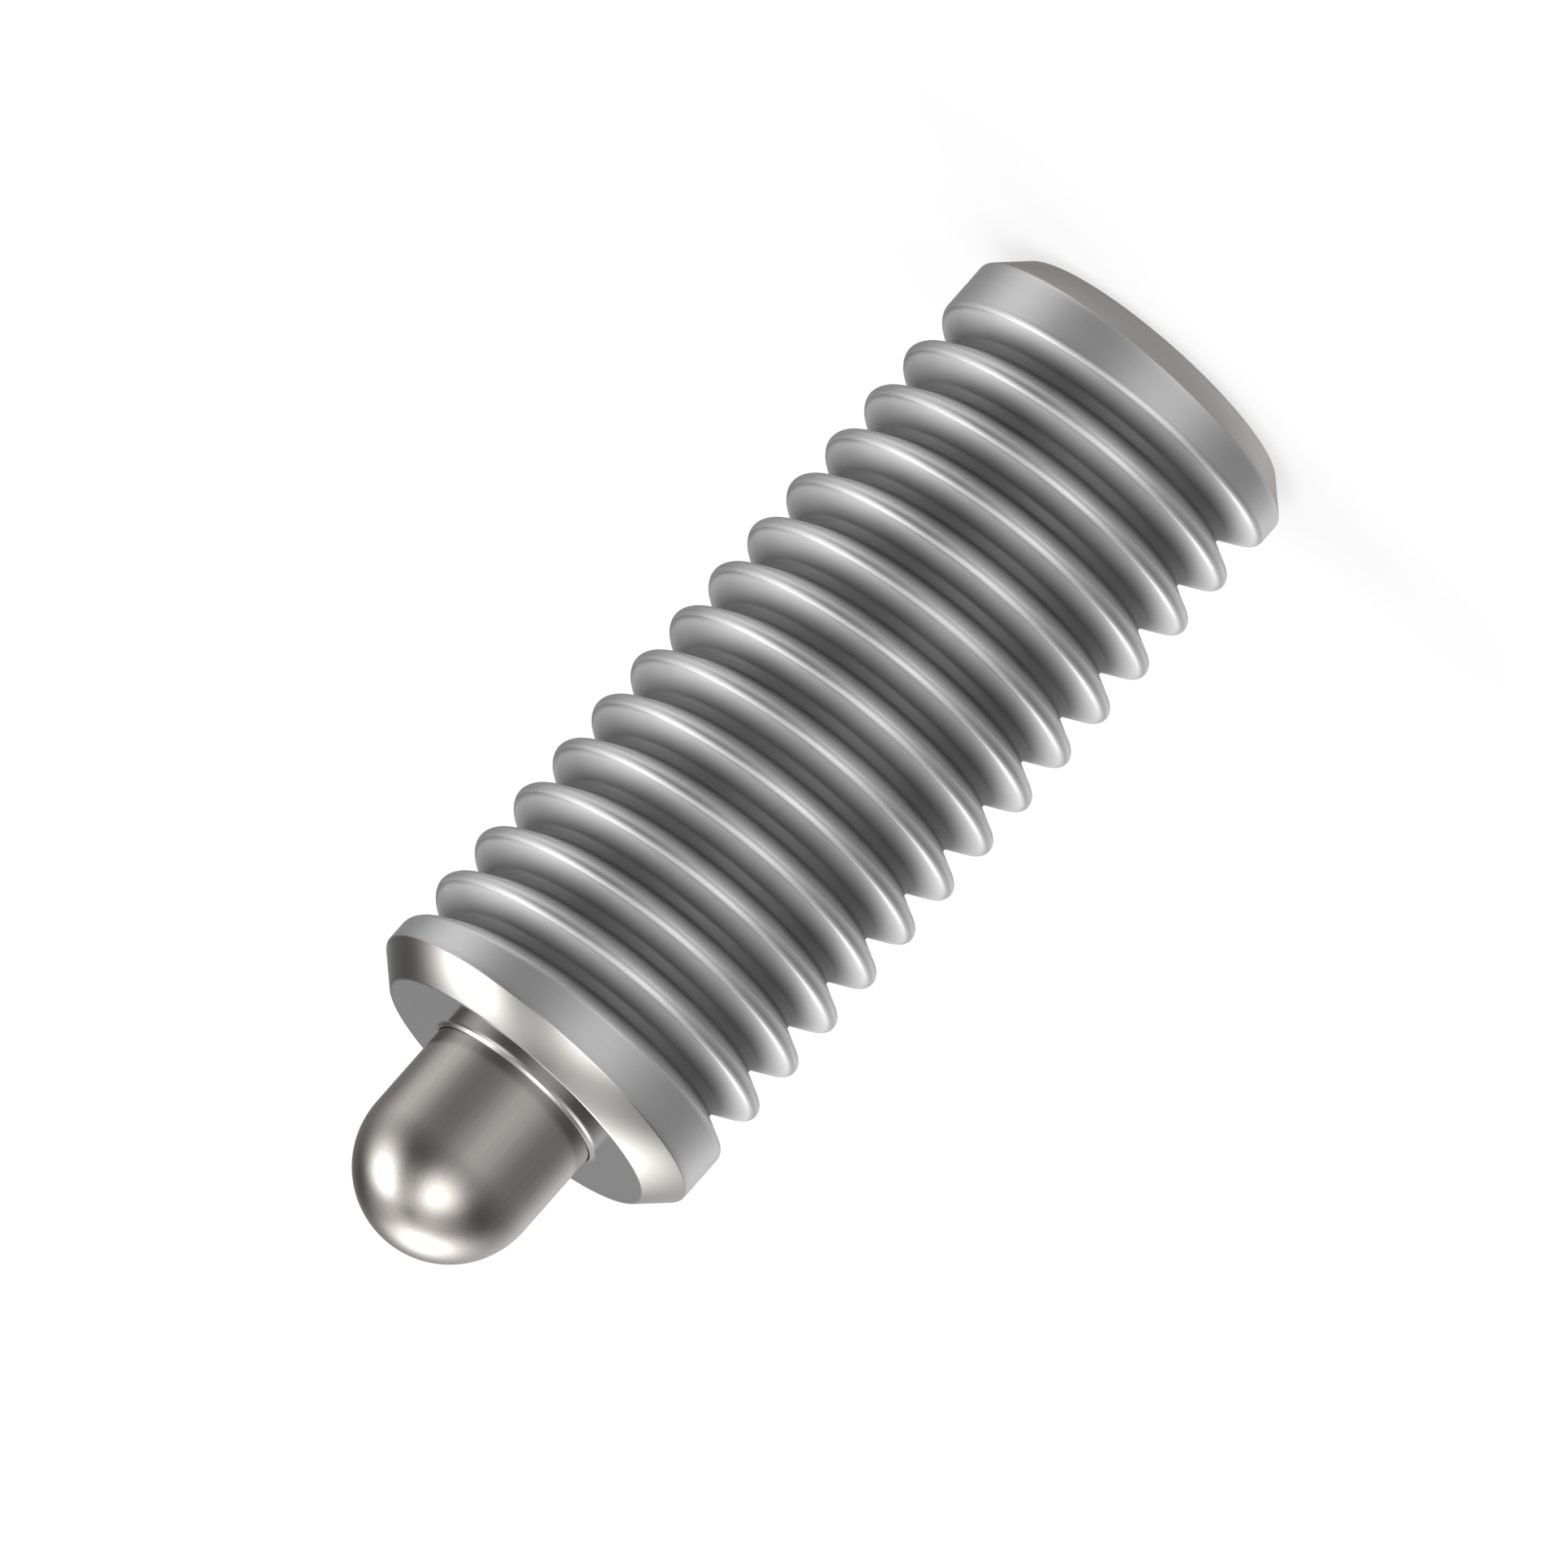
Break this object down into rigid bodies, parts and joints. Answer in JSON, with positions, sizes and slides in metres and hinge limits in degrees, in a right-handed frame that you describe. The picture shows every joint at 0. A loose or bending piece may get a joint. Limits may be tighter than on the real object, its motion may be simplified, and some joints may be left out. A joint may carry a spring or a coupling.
{
  "type": "spring plunger",
  "caption": "Spring plunger with a threaded cylindrical body, a hex socket in the back and a round-nosed sprung pin that presses into the front.",
  "frame": {"origin": "centre of the body's flat back face, on the thread's axis", "axes": "+Z along the thread's axis, from the back face to the tip of the nose; +X through a corner of the hex socket"},
  "size_m": [0.0126, 0.0126, 0.0382],
  "materials": {
    "body_steel": "bright turned steel with a satin thread",
    "pin_steel": "hardened steel, ground and polished lengthwise",
    "spring_steel": "drawn spring wire"
  },
  "bodies": {
    "housing": {"body": "body_steel", "spring": "spring_steel"},
    "plunger": {"plunger_pin": "pin_steel"}
  },
  "joints": [
    {"name": "nose_slide", "type": "slide", "parent": "housing", "child": "plunger", "axis": [0, 0, -1], "range_m": [0, 0.00635], "stiffness_N_per_m": 3100, "deforming": ["spring"]}
  ]
}
